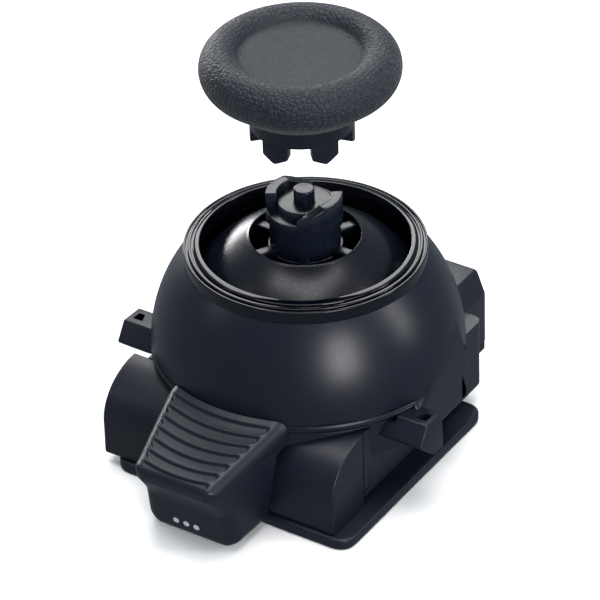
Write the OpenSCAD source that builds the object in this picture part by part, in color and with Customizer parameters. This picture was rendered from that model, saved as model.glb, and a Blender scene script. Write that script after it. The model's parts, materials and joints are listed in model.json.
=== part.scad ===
// Replaceable thumb-stick module: a tilting, clicking stick in a domed housing,
// with a pull-off cap, a thumb button in front and a connector tower behind.
// Millimetres. +Z up, +Y to the rear. The origin is on the base plate's bottom
// face, on the stick's axis.

/* [Base plate] */
// Width of the base plate
plate_w = 26.6; // [24:0.1:32]
// Rear edge of the base plate, behind the stick's axis
plate_back_y = 9.9; // [9.4:0.1:12]
// Thickness of the base plate
plate_t = 1.2; // [1:0.1:1.4]
// Corner radius of the base plate
plate_corner_r = 1.9; // [0.5:0.1:3]
// How far the base plate stands out before the front housing
plate_lip = 0.4; // [0.1:0.05:0.6]
// How far the plate sits to the right of the stick's axis
plate_shift_x = 0.6; // [-1:0.1:1]

/* [Dome] */
// Height of the stick's pivot, which is the centre of the dome
pivot_z = 10.6; // [10:0.1:12]
// Outer radius of the dome
dome_r = 15.2; // [15:0.1:19]
// Wall of the dome
dome_wall = 1.2; // [0.8:0.1:1.4]
// Step from the dome's edge in to its skirt
skirt_step = 0.5; // [0.2:0.1:0.6]
// Lowest point of the flat cheeks, level with the lugs' undersides
cheek_z = 6.3; // [5:0.1:7]
// Front edge of the cheeks
cheek_front_y = -4.4; // [-6:0.1:-3]
// Rear edge of the cheeks
cheek_back_y = 4.7; // [3:0.1:6]
// Thickness of the cheeks
cheek_t = 1; // [0.6:0.1:1.1]

/* [Trim ring] */
// Outer radius of the ring
ring_r_out = 11.7; // [11.2:0.1:14]
// Width of the ring
ring_w = 1.6; // [1.4:0.1:2]
// Height of the ring's outer edge
ring_h = 1.25; // [0.8:0.05:1.6]
// Rise of the ring's inner lip over its outer edge
ring_rise = 0.4; // [0:0.05:0.6]

/* [Dust dome] */
// Gap between the housing and the dust dome
dust_gap = 0.8; // [0.5:0.1:1]
// Wall of the dust dome
dust_wall = 0.8; // [0.5:0.1:1]
// Half angle that the dust dome covers, in degrees
dust_angle = 69; // [68:1:72]
// Width of the spokes between the dust dome and its collar
spoke_w = 1.1; // [0.8:0.1:1.2]

/* [Stick] */
// Radius of the stick's shaft
shaft_r = 1.2; // [1:0.05:1.5]
// Radius of the ball-ended foot about the pivot
foot_reach = 5; // [4.6:0.1:5.2]
// Outer radius of the post that the cap clips onto
post_r = 3.65; // [3.2:0.05:4.4]
// Height of the post's lower part
post_low_h = 3.1; // [2.5:0.1:4]
// Height of the post's upper part
post_high_h = 1.65; // [1.2:0.05:2.2]
// Radius of the peg on top of the post
peg_r = 1; // [0.8:0.1:1.4]
// Height of the peg
peg_h = 1.3; // [1:0.1:1.6]
// Width of the two cam wings round the post
wing_w = 1; // [0.8:0.1:1.2]
// Rise of the cam wings over the post
wing_h = 0.8; // [0.4:0.1:1]

/* [Cap] */
// Diameter of the cap
cap_d = 19; // [17:0.1:23]
// Wall of the cap's hub and legs
leg_t = 1.2; // [0.8:0.05:1.4]
// Length of the cap's legs
leg_h = 2; // [1.5:0.1:2.4]
// Number of legs, and of the spokes between them
leg_count = 6; // [4:1:8]
// Thickness of the cap over its socket
cap_roof = 2.65; // [2:0.05:3.5]
// Radius of the dish in the cap
dish_r = 5.75; // [5:0.05:6.5]
// Depth of the dish below the crest
dish_depth = 1; // [0.4:0.1:1.4]
// Drop from the crest to the widest part of the rim
rim_drop = 2.2; // [1.8:0.1:2.6]

/* [Gimbal] */
// Radius of the trunnions of the pivot block
trunnion_r = 0.8; // [0.6:0.05:0.95]
// Radius of both yokes' shafts
yoke_shaft_r = 1.2; // [1:0.05:1.4]
// Wall of the yokes and of their bearings
yoke_wall = 1.2; // [1:0.05:1.4]
// Thickness of the two sensors' housings
sensor_t = 2; // [1.8:0.1:2]
// Radius of the return spring, to the middle of its wire
spring_r = 3.8; // [3.7:0.05:4]
// Radius of the spring wire
wire_r = 0.18; // [0.12:0.02:0.24]
// Turns of the return spring
spring_turns = 3; // [2:1:3]

/* [Thumb button] */
// Half width of the button at the dome
button_back_w = 6.5; // [6:0.1:8]
// Half width of the button at its front edge
button_front_w = 4.6; // [4:0.1:6]
// How far the button stands out before the dome
button_reach = 8.9; // [8.4:0.1:11]
// Height of the pad at the dome
button_back_z = 11.25; // [11:0.05:12]
// Height of the pad at its front edge
button_front_z = 8.7; // [8:0.1:9.5]
// Number of finger grooves
groove_count = 7; // [3:1:7]
// Distance between grooves
groove_pitch = 1.23; // [1:0.01:1.25]
// Depth of the grooves
groove_depth = 0.3; // [0.1:0.05:0.5]
// Radius of the button's pin
pin_r = 0.6; // [0.4:0.05:0.8]

/* [Housing] */
// Half width of the lower frame
frame_w = 12.2; // [12:0.1:13]
// Wall of the frame and the front housing
wall = 1.2; // [1:0.05:1.3]
// Left end of the front housing
barrel_left_x = -14; // [-15:0.1:-12]
// How far the mounting lugs stand out beside the dome
lug_reach = 2.1; // [1.5:0.1:4]
// Half width of the connector tower
tower_w = 10; // [9:0.1:11.5]
// How far the connector tower stands out behind the dome
tower_reach = 1.5; // [1:0.1:4]
// Depth of the connector tower, front to back
tower_d = 4.3; // [4:0.1:4.8]
// Top of the connector tower
tower_z = 11.95; // [11:0.05:13]
// Number of contact pins
contact_count = 10; // [4:1:12]

/* [Travel and fits] */
// Travel of the stick's click
press = 0.5; // [0.2:0.1:0.5]
// Height of the lifted cap over its seat
cap_lift = 11.5; // [0:0.5:20]
// Radial gap of a running fit
run_gap = 0.05; // [0.02:0.01:0.1]
// Gap of a fixed pin in its hole
fixed_gap = 0.02; // [0.01:0.01:0.04]
// Gap between pieces that move past each other
body_gap = 0.3; // [0.25:0.05:0.35]
// Gap of the cap's socket round the post
cap_gap = 0.1; // [0.05:0.01:0.15]

/* [Hidden] */
$fn = 64;
eps = 0.01;
// Where the housing's faces lie round the dome
barrel_front_y = -dome_r;
plate_front_y = barrel_front_y - plate_lip;
plate_d = plate_back_y - plate_front_y;
lug_x = dome_r + lug_reach;
tower_back_y = dome_r + tower_reach;
frame_back_y = tower_back_y - tower_d;
// The stack under the pivot
pad_h = 0.3;
board_t = 0.8;
board_z = plate_t + pad_h;
shield_z = board_z + board_t;
shield_t = 0.4;
floor_z = shield_z + shield_t;
floor_t = 0.8;
spring_z = floor_z + floor_t;
cup_top_z = pivot_z - foot_reach - run_gap;
cup_t = 0.9;
flange_t = 0.5;
flange_r = spring_r + 0.7;
switch_h = 1.7;
switch_hole_r = spring_r - 0.5;
// Dome, ring and dust dome
dome_in = dome_r - dome_wall;
skirt_r = dome_r - skirt_step;
deck_z = pivot_z - 0.8;
deck_t = 1;
ring_r_in = ring_r_out - ring_w;
ring_z = pivot_z + sqrt(pow(dome_r, 2) - pow(ring_r_out, 2));
dust_r = dome_in - dust_gap;
dust_in = dust_r - dust_wall;
// Cap and post
socket_r = post_r + cap_gap;
leg_r = socket_r + leg_t;
hole_r = leg_r + body_gap + 0.08;
post_z = pivot_z + sqrt(pow(dust_in, 2) - pow(hole_r, 2));
post_top_z = post_z + post_low_h + post_high_h;
seat_z = post_z - run_gap;
tip_z = seat_z + cap_lift;
socket_top_z = tip_z + (post_top_z + peg_h + 0.5 - seat_z);
dish_z = socket_top_z + cap_roof;
crest_z = dish_z + dish_depth;
rim_z = crest_z - rim_drop;
hub_top_z = tip_z + leg_h + 2.25;
crest_r = cap_d / 2 - 2.1;
cone_r = cap_d / 2 - 2.4;
cone_z = socket_top_z + 0.55;
wing_span = 95;
wing_end = 35;
wing_slope = 19;
// Pivot block and yokes
block_x = shaft_r + 0.8;
block_y = shaft_r + 0.6;
block_z = 1.8;
window_x = sqrt(pow(block_x, 2) + pow(block_z, 2)) + body_gap;
window_y = block_y + body_gap + 0.1;
yoke_x = window_x + 2;
yoke_y = window_y + yoke_wall;
arch_in = sqrt(pow(yoke_y, 2) + pow(block_z, 2)) + 1.35;
arch_out = arch_in + yoke_wall;
slot_w = shaft_r + 0.12;
arch_w = slot_w + yoke_wall;
bearing_x = max(yoke_x + 1.5, arch_out + 2 * body_gap);
bearing_w = 3.5;
sensor_x = bearing_x + yoke_wall;
sensor_w = 3.2;
rotor_r = 2.3;
rotor_t = 0.9;
neck_r = shaft_r + 1;
neck_z = pivot_z + arch_out + press + body_gap;
// Thumb button
pin_y = barrel_front_y + 2.6;
pin_z = 6.2;
button_low_z = 0.35;
button_back_y = barrel_front_y - body_gap - 0.05;
arm_x = 4.2;
arm_t = 1.2;
eye_r = 1.1;
window_w = arm_x + arm_t / 2 + body_gap;
window_z = 8.4;
button_front_y = -dome_r - button_reach;
button_wall = 1.2;
button_foot_w = 4.6;
button_cavity_w = button_foot_w + 0.6 - button_wall;
tab_z = 2.4;
tab_end_y = pin_y + 0.4;
pad_slope = atan2(button_back_z - button_front_z, -button_front_y - dome_r);
groove_bend_r = 17;
// Front housing and frame
frame_front_y = -(sensor_x + wall + 0.2);
frame_z = 2.25;
barrel_z = 1;
barrel_knee_z = 5;
barrel_top_z = 9.6;
boss_r = 1.5;
boss_h = 5;
screw_r = 0.5;
head_r = 1.1;
head_t = 0.5;
screw_length = 4.5;
boss_y = [frame_front_y - 2.7, frame_front_y + 2.6, plate_back_y - 2.9];
pad_x = 6;
pad_y = 5;
ribbon_notch_w = 3.4;
boss_x = sensor_x + boss_r + 0.1;
tower_z0 = 2.75;
tray_t = 0.95;
tower_shoulder_z = 9.5;
tower_shoulder = 0.95;
contact_pitch = 1;
contact_r = 0.3;
contact_y = frame_back_y + 1.7;
contact_slot = 0.7;
contact_rest_z = tower_z0 - 0.3;
ribbon_w = 5.2;
ribbon_z = 3.6;
ribbon_t = 0.2;
// The return spring's helix
spring_steps = 24;
spring_sides = 8;
spring_rise = cup_top_z - flange_t - spring_z - 2 * wire_r - run_gap;
spring_last = spring_turns * spring_steps * spring_sides;

// ---- Shapes that repeat ----

// A box from one corner to the opposite one
module block(low, high) translate(low) cube(high - low);

// A round bar along X or Y through the pivot, between two distances from it
module bar_x(r, from, to) translate([from, 0, pivot_z]) rotate([0, 90, 0]) cylinder(r = r, h = to - from);
module bar_y(r, from, to) translate([0, from, pivot_z]) rotate([-90, 0, 0]) cylinder(r = r, h = to - from);

// Places its children at every plate screw, and at every gimbal screw
module at_bosses() for (x = [-boss_x, boss_x], y = boss_y) translate([x, y, 0]) children();
module at_gimbal_corners()
    for (x = [-1, 1], y = [-1, 1]) translate([x * (sensor_x - 1), y * (sensor_x - 1), 0]) children();

// A pan-headed screw that points up from z = 0, head downwards
module screw(head, head_h, shank, length) {
    cylinder(r = head, h = head_h);
    cylinder(r = shank, h = length);
}

// The front housing's outline in Y and Z, drawn "in" millimetres inside its surface
function barrel_outline(in) = concat(
    [[frame_front_y, barrel_z], [barrel_front_y + in, barrel_z]],
    [for (a = [0:6:90]) [frame_front_y - (frame_front_y - barrel_front_y - in) * cos(a),
        barrel_knee_z + (barrel_top_z - in - barrel_knee_z) * sin(a)]]);

// Extrudes a Y-Z outline from one X to another
module along_x(from, to) translate([from, 0, 0]) rotate([90, 0, 90]) linear_extrude(to - from) children();

// ---- Lower housing ----

module base_plate() color("#17181d") difference() {
    union() {
        translate([plate_shift_x - plate_w / 2 + plate_corner_r, plate_front_y + plate_corner_r, 0])
            linear_extrude(plate_t) union() {
                translate([-plate_corner_r, 0]) square([plate_w, plate_d - 2 * plate_corner_r]);
                translate([0, -plate_corner_r]) square([plate_w - 2 * plate_corner_r, plate_d]);
                for (x = [0, plate_w - 2 * plate_corner_r], y = [0, plate_d - 2 * plate_corner_r])
                    translate([x, y]) circle(plate_corner_r);
            }
        for (x = [-pad_x, pad_x], y = [-pad_y, pad_y]) translate([x, y, 0]) cylinder(r = 1, h = board_z);
    }
    at_bosses() translate([0, 0, -eps]) {
        cylinder(r = screw_r + run_gap, h = 2 * plate_t);
        cylinder(r = head_r + run_gap, h = head_t + 2 * run_gap);
    }
}

module plate_screws() color("#8d9096") at_bosses() translate([0, 0, run_gap]) difference() {
    screw(head_r, head_t, screw_r, screw_length);
    for (a = [0, 90]) rotate([0, 0, a]) translate([-0.6, -0.12, -eps]) cube([1.2, 0.24, 0.25]);
}

// One mounting lug, from the frame's wall outwards, on the right (1) or the left (-1)
module lug_bar(side) difference() {
    mirror([side < 0 ? 1 : 0, 0, 0]) along_x(frame_w - eps, lug_x)
        polygon([[-6.3, deck_z + 0.6], [-3.7, deck_z + 0.4], [-3.45, cheek_z], [-5.1, cheek_z], [-7.6, 8.5]]);
    translate([0, 0, deck_z]) cylinder(r = skirt_r + fixed_gap, h = 2);
}

module lug(side) difference() {
    lug_bar(side);
    mirror([side < 0 ? 1 : 0, 0, 0]) translate([lug_x - 1.1, -5.05, deck_z - 0.5]) linear_extrude(2)
        polygon([[-0.6, -0.55], [0.45, -0.55], [0.45, 0.55], [-0.25, 0.55]]);
}

module lower_frame() color("#1b1d23") difference() {
    union() {
        difference() {
            union() {
                block([-frame_w, frame_front_y, frame_z], [frame_w, frame_back_y, deck_z]);
                translate([0, 0, deck_z - deck_t]) intersection() {
                    cylinder(r = skirt_r, h = deck_t);
                    translate([-dome_r + cheek_t + run_gap, -dome_r, 0])
                        cube([2 * (dome_r - cheek_t - run_gap), 2 * dome_r, deck_t]);
                }
            }
            block([wall - frame_w, frame_front_y + wall, 0],
                [frame_w - wall, frame_back_y - wall, deck_z - deck_t]);
            cylinder(r = frame_w - wall, h = 2 * deck_z);
            block([-ribbon_notch_w, 0, 0], [ribbon_notch_w, frame_back_y + 1, frame_z + 2]);
        }
        intersection() {
            at_bosses() translate([0, 0, plate_t]) cylinder(r = boss_r, h = deck_z - deck_t - plate_t);
            block([-frame_w, frame_front_y, 0], [frame_w, frame_back_y, deck_z]);
        }
        lug(-1);
        lug(1);
    }
    at_bosses() cylinder(r = screw_r + fixed_gap, h = screw_length + 0.5);
}

module front_housing() color("#1b1d23") difference() {
    union() {
        difference() {
            along_x(barrel_left_x, frame_w) polygon(barrel_outline(0));
            along_x(barrel_left_x + wall, frame_w - wall) polygon(barrel_outline(wall));
            block([barrel_left_x + wall, barrel_front_y + wall, 0], [frame_w - wall, 0, 2]);
        }
        intersection() {
            along_x(barrel_left_x, frame_w) polygon(barrel_outline(0));
            for (x = [-1, 1])
                translate([x * (window_w + arm_t / 2), (barrel_front_y + pin_y) / 2 + 1, pin_z + 0.8])
                    cube([arm_t, pin_y - barrel_front_y + 2, 5], center = true);
        }
        for (side = [-1, 1]) translate([side * boss_x, boss_y[0], plate_t]) {
            cylinder(r = boss_r, h = boss_h);
            translate([-boss_r / 2, barrel_front_y + wall - boss_y[0] - eps, 0])
                cube([boss_r, boss_y[0] - barrel_front_y - wall, boss_h - 1]);
        }
    }
    translate([0, 0, deck_z - deck_t - run_gap]) cylinder(r = skirt_r + run_gap, h = 3);
    block([-window_w, barrel_front_y - 1, 0], [window_w, pin_y, window_z]);
    translate([-window_w, pin_y, pin_z]) rotate([0, 90, 0]) cylinder(r = eye_r + body_gap, h = 2 * window_w);
    translate([-window_w - 3, pin_y, pin_z]) rotate([0, 90, 0])
        cylinder(r = pin_r + fixed_gap, h = 2 * window_w + 6);
    block([-2 * dome_r, plate_front_y, barrel_z - eps], [2 * dome_r, plate_back_y, plate_t]);
    at_bosses() cylinder(r = screw_r + fixed_gap, h = screw_length + 0.5);
}

// ---- Dome ----

module cheek(side) mirror([side < 0 ? 1 : 0, 0, 0]) {
    along_x(dome_r - cheek_t, dome_r) polygon([[cheek_front_y, pivot_z], [cheek_front_y, cheek_z],
        [cheek_back_y - 1, cheek_z], [cheek_back_y, cheek_z + 1], [cheek_back_y, pivot_z + 3.2],
        [cheek_back_y - 1.4, pivot_z + 3.2], [cheek_back_y - 2.4, pivot_z]]);
}

module dome_housing() color("#15171d") difference() {
    union() {
        intersection() {
            translate([0, 0, pivot_z]) sphere(r = dome_r);
            translate([0, 0, pivot_z]) cylinder(r = dome_r, h = ring_z - pivot_z);
        }
        translate([0, 0, deck_z]) cylinder(r = skirt_r, h = pivot_z - deck_z + eps);
        cheek(-1);
        cheek(1);
    }
    translate([0, 0, pivot_z]) sphere(r = dome_in);
    translate([0, 0, deck_z - eps]) cylinder(r = dome_in, h = pivot_z - deck_z + eps);
    lug_bar(-1);
    lug_bar(1);
}

module trim_ring() color("#0d0e12") translate([0, 0, ring_z]) rotate_extrude() difference() {
    polygon([[ring_r_in, 0], [ring_r_out, 0], [ring_r_out, ring_h], [ring_r_out - 0.3, ring_h + 0.1],
        [ring_r_in + 0.25, ring_h + ring_rise], [ring_r_in, ring_h + ring_rise - 0.2]]);
    for (r = [0.3, 0.85])
        translate([ring_r_out - r - 0.09, ring_h - 0.15]) square([0.18, 1]);
}

module dust_dome() color("#101218") {
    rotate_extrude() translate([0, pivot_z]) difference() {
        intersection() {
            difference() {
                circle(dust_r);
                circle(dust_in);
            }
            polygon([[0, 0], [2 * dust_r * sin(dust_angle), 2 * dust_r * cos(dust_angle)],
                [0, 2 * dust_r]]);
        }
        translate([-dust_r, -dust_r]) square([dust_r + hole_r, 2 * dust_r]);
    }
    for (i = [0:leg_count - 1]) rotate([0, 0, i * 360 / leg_count])
        translate([post_r - 0.2, -spoke_w / 2, post_z - 0.5]) cube([hole_r - post_r + 0.5, spoke_w, 0.95]);
    translate([0, 0, post_z - 0.9]) difference() {
        cylinder(r = post_r, h = 0.85);
        translate([0, 0, -eps]) cylinder(r = neck_r + run_gap, h = 1);
    }
}

// ---- Stick and cap ----

module stick_shaft() color("#9a9ca2") {
    translate([0, 0, pivot_z - foot_reach + 0.8])
        cylinder(r = shaft_r, h = post_z + 1.7 - pivot_z + foot_reach - 0.8);
    intersection() {
        translate([0, 0, pivot_z]) sphere(r = foot_reach);
        translate([0, 0, pivot_z - foot_reach - 1]) cylinder(r = shaft_r + 0.8, h = 2.2);
    }
}

// A sector of the ring that the cam wings lie in, from one angle to another, above a height
module wing_sector(from, to, low) rotate([0, 0, from]) rotate_extrude(angle = to - from)
    translate([post_r - wing_w, low]) square([wing_w + 1, 2 * post_high_h]);

// What is cut away over one wing's slope, which rises to the left
module wing_slope_cut() intersection() {
    wing_sector(wing_end - wing_span - 1, wing_end + 2, post_z + post_low_h);
    rotate([0, 0, wing_end - wing_span / 2]) translate([0, 0, post_top_z - 0.1])
        rotate([wing_slope, 0, 0]) translate([0, -10, 0]) cube([10, 20, 20]);
}

module stick_post() color("#15171d") difference() {
    union() {
        translate([0, 0, neck_z]) cylinder(r = neck_r, h = post_z - neck_z + eps);
        translate([0, 0, post_z]) cylinder(r = post_r - 0.25, h = post_low_h + eps);
        translate([0, 0, post_z + post_low_h]) difference() {
            cylinder(r = post_r, h = post_high_h + wing_h);
            translate([0, 0, post_high_h]) cylinder(r = post_r - wing_w, h = 2 * wing_h);
        }
        translate([0, 0, post_top_z - 0.1]) cylinder(r = peg_r, h = peg_h + 0.1);
    }
    for (turn = [0, 180]) rotate([0, 0, turn]) {
        wing_sector(wing_end, wing_end + 180 - wing_span, post_z + post_low_h + post_high_h / 2);
        wing_slope_cut();
    }
    translate([0, 0, neck_z - 1]) cylinder(r = shaft_r + fixed_gap, h = post_z + 1.8 - neck_z + 1);
}

module cap_core() color("#14161c") difference() {
    union() {
        translate([0, 0, tip_z + leg_h]) cylinder(r = leg_r, h = hub_top_z - tip_z - leg_h);
        translate([0, 0, hub_top_z]) cylinder(r1 = leg_r, r2 = cone_r, h = cone_z - hub_top_z);
        intersection() {
            translate([0, 0, tip_z]) cylinder(r = leg_r, h = leg_h + eps);
            for (i = [0:leg_count - 1]) rotate([0, 0, (i + 0.5) * 360 / leg_count])
                along_x(0, leg_r + 1) polygon([[-1.4, tip_z + leg_h + 1], [-1.4, tip_z + 0.7],
                    [0, tip_z], [1.4, tip_z + 0.7], [1.4, tip_z + leg_h + 1]]);
        }
    }
    translate([0, 0, tip_z - 1]) cylinder(r = socket_r, h = socket_top_z - tip_z + 1);
}

// The grip is a skin over the core: dish, crest and rolled rim outside, the core's cone inside
module cap_grip() color("#1d2026") rotate_extrude() polygon(concat(
    [[0, dish_z], [dish_r, dish_z], [dish_r + 0.45, dish_z + dish_depth * 0.45]],
    [for (a = [90:-10:-40]) [crest_r + (cap_d / 2 - crest_r) * cos(a), rim_z + rim_drop * sin(a)]],
    [[leg_r + fixed_gap, hub_top_z], [cone_r + fixed_gap, cone_z], [0, cone_z]]));

// ---- Gimbal ----

module gimbal_frame() color("#2a2c31") difference() {
    union() {
        block([-sensor_x, -sensor_x, floor_z], [sensor_x, sensor_x, floor_z + floor_t]);
        for (a = [0:90:270]) rotate([0, 0, a])
            block([bearing_x, -bearing_w, floor_z], [sensor_x, bearing_w, pivot_z + bearing_w - 1]);
    }
    translate([0, 0, floor_z - 1]) cylinder(r = switch_hole_r, h = 3);
    bar_x(yoke_shaft_r + run_gap, -sensor_x - 1, sensor_x + 1);
    bar_y(yoke_shaft_r + run_gap, -sensor_x - 1, sensor_x + 1);
    at_gimbal_corners() translate([0, 0, floor_z - 1]) cylinder(r = screw_r + fixed_gap, h = 3);
}

module gimbal_shield() color("#a7a9ae") difference() {
    block([-sensor_x, -sensor_x, shield_z], [sensor_x, sensor_x, shield_z + shield_t]);
    translate([0, 0, shield_z - 1]) cylinder(r = switch_hole_r, h = 3);
    at_gimbal_corners() translate([0, 0, shield_z - 1]) cylinder(r = screw_r + fixed_gap, h = 3);
}

module gimbal_screws() color("#8d9096") at_gimbal_corners()
    translate([0, 0, floor_z + floor_t + 0.5]) mirror([0, 0, 1])
        screw(head_r - 0.2, 0.5, screw_r, floor_z + floor_t + 0.5 - board_z - 0.1);

module main_board() color("#1f4a35") difference() {
    block([-sensor_x - 0.4, -7, board_z], [sensor_x + 0.4, frame_back_y - wall - 1, board_z + board_t]);
    at_gimbal_corners() translate([0, 0, board_z - 1]) cylinder(r = screw_r + fixed_gap, h = 3);
    at_bosses() translate([0, 0, board_z - 1]) cylinder(r = boss_r + body_gap, h = 3);
}

module sensor() difference() {
    block([sensor_x, -sensor_w, pivot_z - sensor_w], [sensor_x + sensor_t, sensor_w, pivot_z + sensor_w]);
    bar_x(rotor_r + body_gap / 2, sensor_x - 1, sensor_x + rotor_t + body_gap);
}

module x_sensor() color("#23303a") sensor();

module y_sensor() color("#23303a") rotate([0, 0, 90]) sensor();

module rotor() difference() {
    bar_x(rotor_r, sensor_x + body_gap / 2, sensor_x + body_gap / 2 + rotor_t);
    bar_x(yoke_shaft_r + fixed_gap, sensor_x, sensor_x + 2);
}

module x_rotor() color("#c9a23a") rotor();

module y_rotor() color("#c9a23a") rotate([0, 0, 90]) rotor();

module lower_yoke() color("#d4d5d2") difference() {
    union() {
        block([-yoke_x, -yoke_y, pivot_z - block_z], [yoke_x, yoke_y, pivot_z + block_z]);
        bar_x(yoke_shaft_r, -sensor_x, -yoke_x + 1);
        bar_x(yoke_shaft_r, yoke_x - 1, sensor_x + body_gap / 2 + rotor_t);
    }
    block([-window_x, -window_y, 0], [window_x, window_y, 2 * pivot_z]);
    bar_y(trunnion_r + run_gap, -yoke_y - 1, yoke_y + 1);
}

module upper_yoke() color("#d4d5d2") difference() {
    union() {
        intersection() {
            bar_x(arch_out, -arch_w, arch_w);
            translate([0, 0, pivot_z + 10 - yoke_shaft_r]) cube([30, 30, 20], center = true);
        }
        bar_y(yoke_shaft_r + 0.6, -arch_out, arch_out);
        bar_y(yoke_shaft_r, -sensor_x, sensor_x + body_gap / 2 + rotor_t);
    }
    bar_x(arch_in, -arch_w - 1, arch_w + 1);
    block([-slot_w, -arch_in + 1.2, pivot_z], [slot_w, arch_in - 1.2, pivot_z + 2 * arch_out]);
}

module pivot_block() color("#b9bbb8") difference() {
    union() {
        block([-block_x, -block_y, pivot_z - block_z], [block_x, block_y, pivot_z + block_z]);
        bar_y(trunnion_r, -yoke_y + 0.1, yoke_y - 0.1);
    }
    translate([0, 0, pivot_z - block_z - 1]) cylinder(r = shaft_r + run_gap, h = 2 * block_z + 2);
}

// Points of the spring's tube, ring by ring up the helix
spring_points = [for (i = [0:spring_turns * spring_steps], k = [0:spring_sides - 1])
    let (a = i * 360 / spring_steps, b = k * 360 / spring_sides, r = spring_r + wire_r * cos(b))
        [r * cos(a), r * sin(a),
            spring_z + wire_r + spring_rise * i / (spring_turns * spring_steps) + wire_r * sin(b)]];
spring_faces = concat([[for (k = [0:spring_sides - 1]) k]],
    [for (i = [0:spring_turns * spring_steps - 1], k = [0:spring_sides - 1])
        let (n = (k + 1) % spring_sides, low = i * spring_sides)
            [low + k, low + spring_sides + k, low + spring_sides + n, low + n]],
    [[for (k = [spring_sides - 1:-1:0]) spring_last + k]]);

module return_spring() color("#c0c2c6") polyhedron(spring_points, spring_faces);

module press_cup() color("#3a3c42") {
    translate([0, 0, cup_top_z - flange_t]) cylinder(r = flange_r, h = flange_t);
    translate([0, 0, cup_top_z - cup_t]) cylinder(r = 2.2, h = cup_t);
}

module click_switch() color("#2e3036") difference() {
    block([-2.25, -2.25, shield_z], [2.25, 2.25, shield_z + switch_h]);
    translate([0, 0, shield_z + 0.3]) cylinder(r = 1, h = switch_h);
}

module click_plunger() color("#c8321f")
    translate([0, 0, shield_z + 1]) cylinder(r = 1 - run_gap, h = cup_top_z - cup_t - shield_z - 1);

// ---- Thumb button ----

// The button from the side: pad, rounded nose, undercut and apron
module button_side() polygon([[-dome_r - 0.2, button_back_z], [button_front_y + 0.4, button_front_z + 0.1],
    [button_front_y, button_front_z - 0.4], [button_front_y + 0.5, button_front_z - 1.4],
    [button_front_y + 2.2, 5.2], [button_front_y + 2.9, 3.8],
    [button_front_y + 3.2, button_low_z + 0.6], [button_front_y + 3.8, button_low_z],
    [button_back_y, button_low_z], [button_back_y, 8], [-dome_r - 0.2, 9.2]]);

// Half of the button from above, and from the front, as points for the right side
button_plan_half = [[button_front_w, button_front_y - 1], [button_front_w + 0.25, button_front_y + 1.6],
    [button_back_w, -dome_r - 0.7], [button_back_w, 5 - dome_r]];
button_front_half = [[button_foot_w, button_low_z], [button_foot_w + 0.6, 1.4],
    [button_back_w - 0.8, 7.2], [button_back_w, 9.6], [button_back_w, 13]];

// A shape that is the same on both sides of X = 0, from its right half
module both_sides(half) polygon(concat(half,
    [for (i = [len(half) - 1:-1:0]) [-half[i][0], half[i][1]]]));

module thumb_button() color("#1c1e25") difference() {
    union() {
        difference() {
            intersection() {
                along_x(-button_back_w, button_back_w) button_side();
                linear_extrude(14) both_sides(button_plan_half);
                rotate([90, 0, 0]) linear_extrude(2 * dome_r) both_sides(button_front_half);
            }
            translate([0, 0, pivot_z - 2]) cylinder(r = dome_r + body_gap, h = 6);
            block([-button_cavity_w, button_front_y + 5.1, button_low_z + button_wall + 0.05],
                [button_cavity_w, button_back_y + 1, window_z - 0.2]);
            block([-button_back_w, plate_front_y - body_gap - 0.25, 0],
                [button_back_w, 0, plate_t + body_gap]);
            for (i = [0:groove_count - 1]) translate([0, -dome_r - 1.1 - i * groove_pitch + groove_bend_r,
                button_back_z - (1.1 + i * groove_pitch) * tan(pad_slope) - groove_depth])
                    rotate([0, 0, 270 - 21 + i * 1.1]) rotate_extrude(angle = 42 - 2.2 * i)
                        translate([groove_bend_r, 0]) square([0.6, 2]);
        }
        for (x = [-arm_x, arm_x]) along_x(x - arm_t / 2, x + arm_t / 2) union() {
            polygon([[button_back_y - 1, pin_z - eye_r], [pin_y, pin_z - eye_r], [pin_y, pin_z + eye_r],
                [button_back_y - 1, pin_z + eye_r]]);
            translate([pin_y, pin_z]) circle(eye_r);
        }
        block([-1.2, button_front_y + 4.6, tab_z - 0.7], [1.2, tab_end_y, tab_z + 0.7]);
    }
    translate([-window_w, pin_y, pin_z]) rotate([0, 90, 0]) cylinder(r = pin_r + run_gap, h = 2 * window_w);
}

module button_pin() color("#9a9ca2") translate([-window_w - 1, pin_y, pin_z]) rotate([0, 90, 0])
    cylinder(r = pin_r, h = 2 * window_w + 2);

module button_board() color("#1f4a35")
    block([-4, frame_front_y - 0.6, plate_t + 0.2], [4, frame_front_y, plate_t + 5.2]);

module button_switch() color("#2e3036") difference() {
    block([-2, frame_front_y - 2, tab_z - 0.9], [2, frame_front_y - 0.6, tab_z + 1.6]);
    translate([0, frame_front_y - 0.9, tab_z]) rotate([90, 0, 0]) cylinder(r = 0.7, h = 3);
}

module button_plunger() color("#d8d9d6") translate([0, frame_front_y - 1.2, tab_z]) rotate([90, 0, 0])
    cylinder(r = 0.7 - run_gap, h = frame_front_y - 1.2 - tab_end_y - run_gap);

// ---- Rear connector ----

module tower_outline(in) polygon(concat([[in - tower_w, 0], [in - tower_w, tower_shoulder_z]],
    [for (a = [15:15:75]) [in - tower_w + tower_shoulder * (1 - cos(a)),
        tower_shoulder_z + (tower_z - in - tower_shoulder_z) * sin(a)]],
    [for (a = [75:-15:15]) [tower_w - in - tower_shoulder * (1 - cos(a)),
        tower_shoulder_z + (tower_z - in - tower_shoulder_z) * sin(a)]],
    [[tower_w - in, tower_shoulder_z], [tower_w - in, 0]]));

module tower_space(in) translate([0, tower_back_y - in, 0]) rotate([90, 0, 0]) linear_extrude(12)
    tower_outline(in);

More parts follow.
